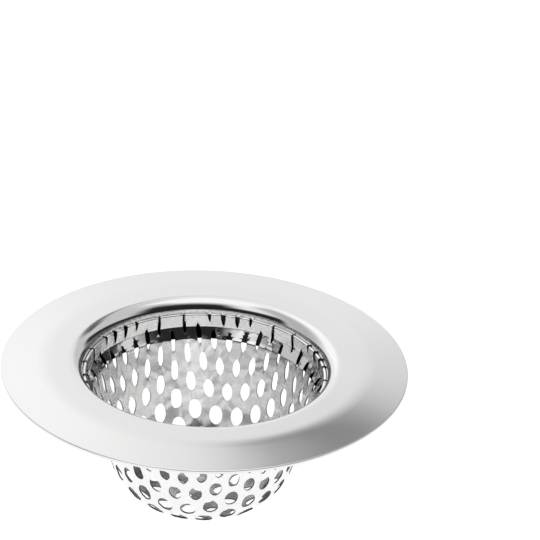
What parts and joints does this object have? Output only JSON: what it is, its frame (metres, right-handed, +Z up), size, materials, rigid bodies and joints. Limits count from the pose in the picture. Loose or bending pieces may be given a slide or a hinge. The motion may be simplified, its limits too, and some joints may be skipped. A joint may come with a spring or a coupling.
{
  "type": "sink strainer",
  "caption": "Drop-in kitchen sink strainer: a wide satin steel rim ring whose collar carries a deep, tapering basket of perforated steel.",
  "frame": {"origin": "middle of the basket's flat underside, the lowest point of the strainer", "axes": "+Z up along the strainer's axis, out of the basket's mouth; +X through a column of holes that stand one above another"},
  "size_m": [0.113, 0.113, 0.0442],
  "materials": {
    "satin_steel": "satin-finished stainless steel sheet",
    "polished_steel": "mirror-polished perforated stainless steel sheet"
  },
  "bodies": {
    "root": {"rim": "satin_steel", "basket": "polished_steel"}
  },
  "joints": []
}
